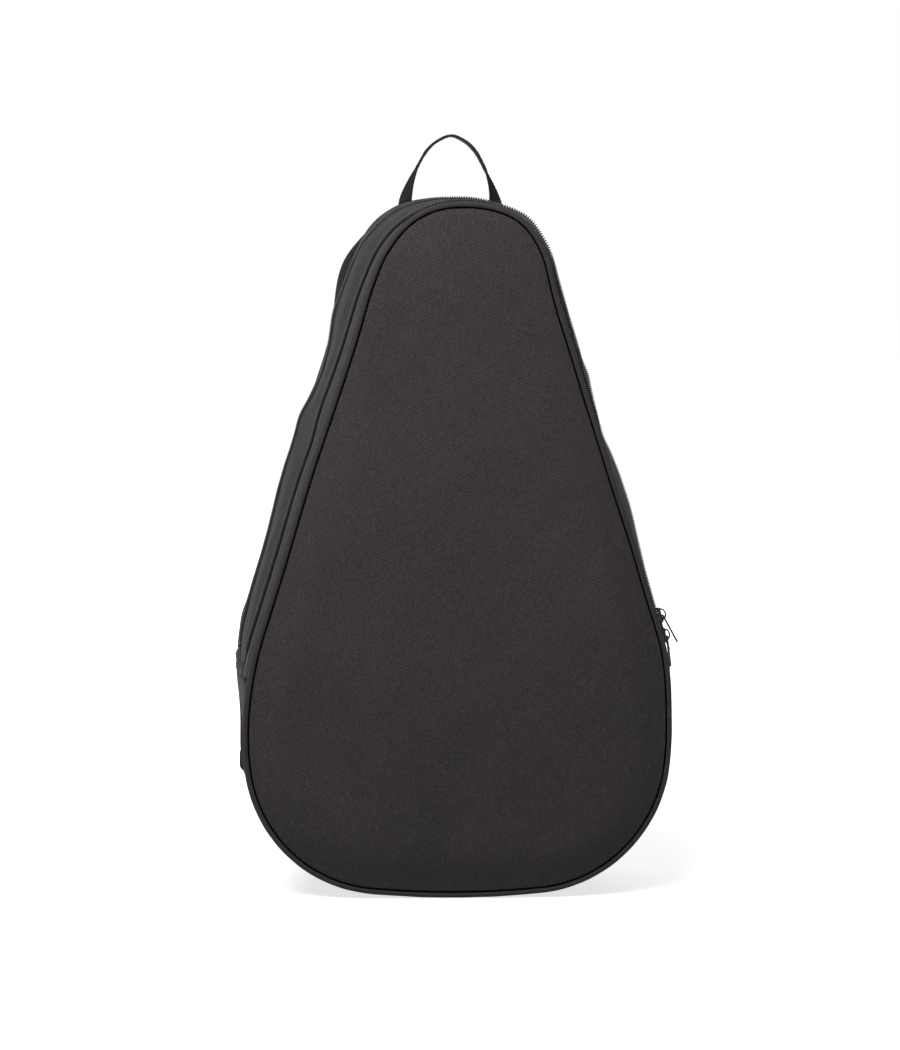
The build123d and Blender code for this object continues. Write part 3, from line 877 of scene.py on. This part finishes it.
def coil(name, middle_y, side):
    """One side of a coil: a rib of wire at each pitch, its head past the zip's middle."""
    s = np.arange(s_at(COIL_END_Z, 1), s_at(COIL_END_Z, -1), COIL_PITCH) + (COIL_PITCH / 2 if side > 0 else 0)
    y = middle_y + side * RIB[:, 0]
    lift = skin(s, np.array([middle_y])) - 0.1 - COIL_STAGGER * side + RIB[:, 1][None, :]
    return tubes(name, place(s, y[None, :], lift), WIRE_RADIUS)


for name, middle_y, side, nodes, fold in (
    ("Main_Zip_Coil_Front", 0, -1, ("main_zip_coil_front", "main_zip_coil_front_ends"), FLAP_FOLD),
    ("Main_Zip_Coil_Rear", 0, 1, ("main_zip_coil_rear",), None),
    ("Pocket_Zip_Coil_Outer", POCKET_ZIP_Y, -1, ("pocket_zip_coil_outer",), FLAP_FOLD),
    ("Pocket_Zip_Coil_Inner", POCKET_ZIP_Y, 1, ("pocket_zip_coil_inner", "pocket_zip_coil_ends"), FLAP_FOLD),
):
    finish_piece(coil(name, middle_y, side), COIL_PLASTIC, nodes, fold=fold)

# The sewn cord inside each side of the main coil, which light would otherwise show through
CORD_THICK = 1.8
CORD_MIDDLE = 0.2
for name, low_y, high_y, fold in (
    ("Main_Zip_Cord_Front", -2.5, -0.5, FLAP_FOLD),
    ("Main_Zip_Cord_Rear", 0.5, 2.5, None),
):
    section = strip_loop(low_y, high_y, CORD_THICK, 4)
    section[:, 1] += CORD_MIDDLE - (section[:, 1].max() + section[:, 1].min()) / 2
    finish_piece(strip(name, skin, tape_run, section), TAPE_KNIT, fold=fold)


# ---------------------------------------------------------------- lower gusset and side pockets

LOWER_TOP_Z = 159.4
under = np.linspace(-s_at(LOWER_TOP_Z, 1), s_at(LOWER_TOP_Z, 1), 420)
lower = strip("Lower_Gusset", lower_skin, under, strip_loop(-48.8, 46.4, 1.4, 60))
finish_piece(lower, GUSSET_CLOTH, ("lower_gusset", "gusset_join_seams"))

for side, label in SIDES:
    run = np.linspace(s_at(POCKET_FOOT_Z, side), s_at(HEM_Z, side), 90)
    pocket = strip("Side_Pocket_" + label, pocket_skin, run, strip_loop(-47.9, 44.9, 1.3, 64))
    finish_piece(pocket, GUSSET_CLOTH, ("side_pocket_" + label,))
    run = np.linspace(s_at(HEM_Z - 9, side), s_at(HEM_Z + 0.6, side), 14)
    section = strip_loop(-47.7, 44.7, 1.4, 64)
    section[:, 1] += 0.1
    hem = strip("Side_Pocket_Hem_" + label, pocket_skin, run, section)
    finish_piece(hem, GUSSET_CLOTH, ("side_pocket_hem_" + label,))


# ---------------------------------------------------------------- webbing and straps

BACKWARD = np.array([[0, 1.0, 0]])


def spline(points, count):
    """Evenly spaced points on a smooth curve through the given ones, and its length."""
    points = np.asarray(points, float)
    chord = run_of(points)
    fine = (points.T @ curve_basis(chord, np.linspace(0, chord[-1], 600))).T
    run = run_of(fine)
    even = np.linspace(0, run[-1], count)
    return read_along(even, run, fine), run[-1]


def ribbon(name, path, width_way, width, thick, across=22, rib=1.5, rib_depth=0.16):
    """Flat webbing with modelled ribs along a path of (n, 3) points.

    Its width, and the direction that the width lies in, are given once or for each point.
    """
    forward = unit(np.gradient(path, axis=0))
    width_way = np.broadcast_to(width_way, path.shape)
    way = unit(width_way - (width_way * forward).sum(1)[:, None] * forward)
    face = np.cross(forward, way)
    run = run_of(path)
    width = np.broadcast_to(width, len(run))[:, None]
    v = np.linspace(-1, 1, across)
    v = (np.sign(v) * np.abs(v) ** 0.85)[None, :]
    edge = np.sqrt(np.clip(1 - np.abs(v) ** 8, 0.12, 1))
    ridges = rib_depth * np.sin(run[:, None] * math.tau / rib) * np.cos(v * width * math.pi / 1.7)
    half = thick / 2 * edge + ridges * edge
    middle = path[:, None] + way[:, None] * (v * width / 2)[..., None]
    rise = face[:, None] * half[..., None]
    return grid(name, np.concatenate([middle + rise, (middle - rise)[:, ::-1]], 1))


HANDLE_Y = 48.0


def handle():
    """The grab handle: sewn flat into the rear seam, it narrows and turns edge-on over its arch."""
    right = [(31.3, 446), (30.6, 452), (29.5, 458), (27.5, 465)]
    right += [(24.4, 473), (20.5, 481), (16.2, 488), (9.9, 494)]
    left = [(-x, z) for x, z in right]
    flat, length = spline(left + [(0, 498.1)] + right[::-1], 420)
    path = at_depth(flat, HANDLE_Y)
    run = np.linspace(0, length, len(flat))
    end = np.minimum(run, length - run)
    width = 8.6 + 9.4 * ease(end, 24, 52)
    seen = 8.6 - 7.1 * np.clip((end - 8) / 23, 0, 1)
    turn = np.arccos(np.clip((seen - 1.5) / (width - 1.5), 0, 1)) + 0.12 * bump(run, 44, 6)
    forward = unit(np.gradient(path, axis=0))
    outward_way = np.stack([-forward[:, 2], 0 * run, forward[:, 0]], 1)
    way = outward_way * np.cos(turn)[:, None] + BACKWARD * np.sin(turn)[:, None]
    return ribbon("Grab_Handle", path, way, width, 1.5, across=16, rib=1.9, rib_depth=0.26)


handle_fold = ("case", "handle", (0, 0.048, 0.4525), (0, 0.048, 0.460))
finish_piece(handle(), WEBBING, ("grab_handle",), fold=handle_fold)

# The right strap's middle from the side as (y, z), and its two edges from the front as (x, z)
STRAP_PATH = [(54.6, 437), (61.5, 426), (68, 412), (72.6, 390), (73.2, 370), (70.6, 280), (62, 190)]
STRAP_OUTSIDE = [(48, 442), (69.5, 414), (75.5, 385), (80, 290), (92, 185)]
STRAP_INSIDE = [(10, 442), (16, 400), (24, 330), (50, 185)]


def reads(points, z):
    """The x of a smooth curve through (x, z) points at each height."""
    fine, _ = spline(points, 400)
    order = np.argsort(fine[:, 1])
    return np.interp(z, fine[order, 1], fine[order, 0])


def strap_face(side, v, sign):
    """One face of a padded strap, sign 1 towards the bag: bound edges, a sewn groove inside each, a soft pad."""
    centre, length = spline([(y, z) for y, z in STRAP_PATH], 150)
    y, z = centre.T
    outside, inside = reads(STRAP_OUTSIDE, z), reads(STRAP_INSIDE, z)
    forward = unit(np.gradient(centre, axis=0))
    run = np.linspace(0, length, len(z))
    end = np.minimum(run, length - run)
    width = outside - inside
    from_edge = (1 - np.abs(v))[None, :] * width[:, None] / 2
    pad = 1.5 + 2.7 * ease(from_edge, 2.2, 9) + 0.5 * bump(from_edge, 1.4, 1.0)
    pad = pad * np.sqrt(np.clip(1 - np.abs(v) ** 14, 0.02, 1))[None, :]
    pad = pad * (0.45 + 0.55 * ease(end, 0, 12))[:, None]
    uneven = Waves(50 + side, 40, 22)
    pad = pad + 0.25 * uneven(run[:, None], from_edge) * ease(from_edge, 5, 12)
    x = side * ((outside + inside)[:, None] / 2 + v[None, :] * width[:, None] / 2)
    out_y, out_z = -forward[:, 1], forward[:, 0]
    y = y[:, None] - sign * out_y[:, None] * pad
    z = z[:, None] - sign * out_z[:, None] * pad
    return np.stack([x, y, z], -1)


def strap(name, side):
    v = np.sin(np.linspace(-0.5 * math.pi, 0.5 * math.pi, 34))
    return grid(name, np.concatenate([strap_face(side, v, 1), strap_face(side, v, -1)[:, ::-1]], 1))


WEB_WIDTH, WEB_THICK = 25, 1.5
BAR_X, BAR_Y = 69.6, 62
for side, label in SIDES:
    body = "strap_" + label
    made = strap("Shoulder_Strap_" + label, side)
    pad = finish_piece(made, STRAP_CLOTH, ("shoulder_strap_" + label,), body)

    # From the anchor up to the lock, with a little slack
    top = np.array([side * 73.5, 57.6, 168.5])
    foot = np.array([side * 126.0, 51.4, 74.0])
    low_slack = foot * 0.66 + top * 0.34 + np.array([0, 1.5, 0])
    high_slack = foot * 0.3 + top * 0.7 + np.array([0, 1.2, 0])
    path, _ = spline([foot, low_slack, high_slack, top], 200)
    webbing = ribbon("Strap_Webbing_" + label, path, np.cross(top - foot, BACKWARD[0]), WEB_WIDTH, WEB_THICK)
    start, end = path[30] * MM, path[-30] * MM
    fold = ("case", body, tuple(start), tuple(end))
    finish_piece(webbing, WEBBING, ("strap_webbing_" + label,), fold=fold)

    # The loose tail behind the lock
    low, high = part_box("strap_tail_" + label)
    mid_x = (low.x + high.x) / 2 / MM
    upper = [(mid_x - side * 3.6, 65.0, high.z / MM - 1), (mid_x - side * 1, 66.8, 140)]
    lower = [(mid_x + side * 1.6, 66.2, 115), (mid_x + side * 4.4, 64.6, low.z / MM + 1)]
    path, _ = spline(upper + lower, 170)
    tail = ribbon("Strap_Tail_" + label, path, np.array([1.0, 0, 0.12 * side]), WEB_WIDTH, WEB_THICK)
    finish_piece(tail, WEBBING, ("strap_tail_" + label,), body)

    # A short loop of webbing joins the pad's end to the lock's top bar: (reach from the bar's depth, height).
    down = [(1.7, 197), (1.9, 194), (2.6, 190), (2.9, 187), (2.9, 185.2), (2.1, 183.5), (0, 183.2)]
    loop = [(side * BAR_X, BAR_Y + reach, z) for reach, z in down]
    loop += [(side * BAR_X, BAR_Y - reach + 0.12 * max(z - 190, 0), z) for reach, z in down[-2::-1]]
    path, _ = spline(loop, 120)
    keeper = ribbon("Strap_Keeper_" + label, path, np.array([1.0, 0, 0.14 * side]), 24, 1.2)
    finish_piece(keeper, WEBBING, body=body)


# A patch's section round its edge, as (share of the way out from its middle, share of half its thickness)
PATCH_SECTION = ((0.0, 1), (0.6, 1), (0.93, 1), (0.985, 0.8), (1.0, 0.35))
PATCH_SECTION += ((1.0, -0.35), (0.985, -0.8), (0.9, -1), (0.0, -1))


def patch(name, outline, y, thick):
    """A sewn flat patch with rounded edges: outline is (n, 2) points of x and z."""
    centre = outline.mean(0)
    rows = []
    for share, depth in PATCH_SECTION:
        ring = centre + (outline - centre) * share
        rows.append(at_depth(ring, y + depth * thick / 2))
    return rings(name, np.stack(rows, 1))


def rounded(corners, radius):
    """A closed outline through straight sides with rounded corners."""
    corners = np.asarray(corners, float)
    out = []
    for k, corner in enumerate(corners):
        before = corners[k - 1] - corner
        following = corners[(k + 1) % len(corners)]
        after = following - corner
        a = corner + before / np.linalg.norm(before) * radius
        b = corner + after / np.linalg.norm(after) * radius
        for t in np.linspace(0, 1, 6):
            out.append((1 - t) ** 2 * a + 2 * t * (1 - t) * corner + t**2 * b)
        far = following - after / np.linalg.norm(after) * radius
        for t in np.linspace(0, 1, 14)[1:-1]:
            out.append(b + (far - b) * t)
    return np.array(out)


def oblong(half_width, low_z, high_z):
    return [(-half_width, low_z), (half_width, low_z), (half_width, high_z), (-half_width, high_z)]


def anchor_outline(side):
    return rounded([(side * x, z) for x, z in ((113, 92), (138, 83), (138, 71), (122, 56))], 2.2)


yoke = patch("Strap_Yoke", rounded(oblong(38, 407, 429), 3), 49.4, 1.9)
finish_piece(yoke, STRAP_CLOTH, ("strap_yoke",))
for side, label in SIDES:
    tab = patch("Lower_Anchor_" + label, anchor_outline(side), 50.1, 1.7)
    finish_piece(tab, WEBBING, ("lower_anchor_" + label,))


# ---------------------------------------------------------------- stitching

THREAD_RADIUS = 0.24
STITCH_RISE, STITCH_DIP = 0.3, 0.12


def stitches(name, path, normal, slot, body="case", fold=None, pitch=3.1, length=2.3):
    """A row of sewn stitches along a path of (n, 3) points, each one dipping into the cloth at its ends."""
    normal = np.broadcast_to(normal, path.shape)
    run = run_of(path)
    starts = np.arange(int(run[-1] / pitch)) * pitch + (pitch - length) / 2
    t = np.linspace(0, 1, 5)
    where = starts[:, None] + t[None, :] * length
    sink = (STITCH_RISE * np.sin(math.pi * t) - STITCH_DIP)[None, :, None]
    points = read_along(where, run, path) + read_along(where, run, normal) * sink
    finish_piece(tubes(name, points, THREAD_RADIUS), THREAD, (), body, fold)


def sewn_round(name, y, fold=None):
    """A row of stitches over the top of the bag at a depth."""
    s = around(HEM_Z + 2, 1.5)
    path = place(s, np.array([[y]]), skin(s, np.array([y])) + 0.1)[:, 0]
    stitches(name, path, out_of(s), "gusset_cloth", fold=fold)


def sewn_ring(name, outline, y, slot, **spacing):
    """A closed row of stitches on the back of the bag: outline is (n, 2) points of x and z."""
    outline = np.concatenate([outline, outline[:1]])
    stitches(name, at_depth(outline, y), BACKWARD, slot, **spacing)


sewn_round("Stitch_Main_Front", -6.0, FLAP_FOLD)
sewn_round("Stitch_Main_Rear", 6.0)
sewn_round("Stitch_Pocket_Inner", -36.9, FLAP_FOLD)
for side, label in SIDES:
    for row, z in (("Low", HEM_Z - 7.6), ("High", HEM_Z - 1.2)):
        s = np.array([s_at(z, side)])
        y = np.linspace(-44.5, 41.5, 90)
        path = place(s, y[None, :], pocket_skin(s, y) + 0.3)[0]
        stitches(f"Stitch_Hem_{row}_{label}", path, out_of(s), "gusset_cloth", pitch=2.9)
    for edge, v in (("Inner", -0.865), ("Outer", 0.865)):
        path = strap_face(side, np.array([v]), -1)[3:-3, 0]
        stitches(f"Stitch_Strap_{edge}_{label}", path, BACKWARD, "strap_cloth", "strap_" + label)
    outline = anchor_outline(side)
    centre = outline.mean(0)
    inner = centre + (outline - centre) * 0.8
    sewn_ring("Stitch_Anchor_" + label, inner, 50.95, "webbing", pitch=2.6, length=1.9)
sewn_ring("Stitch_Yoke", rounded(oblong(35.5, 409.5, 426.5), 2), 50.35, "strap_cloth")


# ---------------------------------------------------------------- carried-over CAD parts

def carried(node, made, round_off):
    """A CAD piece kept as it is, its edges eased, in its material."""
    piece = frame["nodes"][node]
    piece.data.materials.clear()
    piece.data.materials.append(made)
    bevel = piece.modifiers.new("eased", "BEVEL")
    bevel.width = round_off
    bevel.segments = 2
    bevel.limit_method = "ANGLE"
    bevel.angle_limit = math.radians(35)


for nodes, made, round_off in (
    (("main_slider_upper", "main_slider_lower", "pocket_slider"), ZIP_METAL, 0.00018),
    (("main_zip_stops", "pocket_zip_stops"), ZIP_METAL, 0.00018),
    (("main_pull_upper", "main_pull_lower", "pocket_pull"), ZIP_METAL, 0.0002),
    (("ladder_lock_left", "ladder_lock_right"), LOCK_PLASTIC, 0.0005),
):
    for node in nodes:
        carried(node, made, round_off)


# ---------------------------------------------------------------- stage, light, camera

# Light from the sky below and above the horizon, and the floor's glow near the bag, dimmed there as a painted
# shadow, and away from it
SKY_BELOW, SKY_ABOVE = 0.02, 0.16
FLOOR_NEAR, FLOOR_FAR = 0.72, 1.1
FLOOR_REACH = 8.0
# Each light's name, place, aim, size in m and power in W
LIGHTS = (
    ("key", (-0.40, -0.72, 1.10), (0, 0, 0.33), (0.8, 0.5), 12.9),
    ("side", (-1.7, 0.3, 1.0), (0, 0, 0.25), (1.2, 1.2), 0.4),
    ("top", (0.2, 0.5, 1.9), (0, 0, 0.3), (1.6, 1.2), 2),
    ("back", (0.1, 2.0, 0.8), (0, 0, 0.25), (1.2, 0.9), 8),
)


def stage():
    """A white floor that glows a little less near the bag: a painted shadow where the bag's shadow falls."""

    def glow(n, shader):
        away = n.new("ShaderNodeVectorMath", operation="LENGTH")
        n.link(n.where(), away.inputs[0])
        # Painted shadow: the floor's glow is lower close to the bag
        glow = n.ramp(away.outputs["Value"], 0.2, 0.75, FLOOR_NEAR, FLOOR_FAR)
        n.link(glow, shader.inputs["Emission Strength"])

    mesh = bpy.data.meshes.new("floor")
    corners = ((-1, -1), (1, -1), (1, 1), (-1, 1))
    mesh.from_pydata([(FLOOR_REACH * x, FLOOR_REACH * y, 0) for x, y in corners], [], [(0, 1, 2, 3)])
    white = (1, 1, 1, 1)
    paint = material("floor", 0.9, glow, (0.93, 0.93, 0.93), Specular_IOR_Level=0.0, Emission_Color=white)
    mesh.materials.append(paint)
    floor = in_scene("floor", mesh)
    floor.visible_diffuse = False


def area_light(name, place_m, aim_m, size, power):
    data = bpy.data.lights.new(name, "AREA")
    data.shape = "RECTANGLE"
    data.size, data.size_y = size
    data.energy = power
    light = in_scene(name, data)
    light.location = place_m
    light.rotation_euler = (Vector(aim_m) - Vector(place_m)).to_track_quat("-Z", "Y").to_euler()


def world():
    """White to the camera; as light, bright above and dimmer towards and below the horizon."""
    sky = bpy.data.worlds.new("studio")
    sky.use_nodes = True
    n = Nodes(sky.node_tree)
    split = n.new("ShaderNodeSeparateXYZ")
    n.link(n.new("ShaderNodeTexCoord").outputs["Generated"], split.inputs[0])
    glow = n.ramp(split.outputs["Z"], -0.5, 0.8, SKY_BELOW, SKY_ABOVE)
    seen = n.new("ShaderNodeLightPath").outputs["Is Camera Ray"]
    background = sky.node_tree.nodes["Background"]
    background.inputs["Color"].default_value = (1, 1, 1, 1)
    n.link(n.math("MAXIMUM", glow, seen), background.inputs["Strength"])
    bpy.context.scene.world = sky


CAMERA_PLACE = (-0.243, -2.356, 0.4585)
CAMERA_AIM = (-0.0073, -0.05, 0.2455)
CAMERA_ROLL = 0.774
CAMERA_LENS = 123.06


def camera():
    data = bpy.data.cameras.new("camera")
    data.lens = CAMERA_LENS
    data.clip_end = 100
    eye = in_scene("camera", data)
    eye.location = CAMERA_PLACE
    look = (Vector(CAMERA_AIM) - Vector(CAMERA_PLACE)).to_track_quat("-Z", "Y")
    roll = Matrix.Rotation(math.radians(CAMERA_ROLL), 3, "Z").to_quaternion()
    eye.rotation_mode = "QUATERNION"
    eye.rotation_quaternion = look @ roll
    bpy.context.scene.camera = eye


stage()
world()
for light in LIGHTS:
    area_light(*light)
camera()

bpy.context.scene.view_settings.view_transform = "Standard"
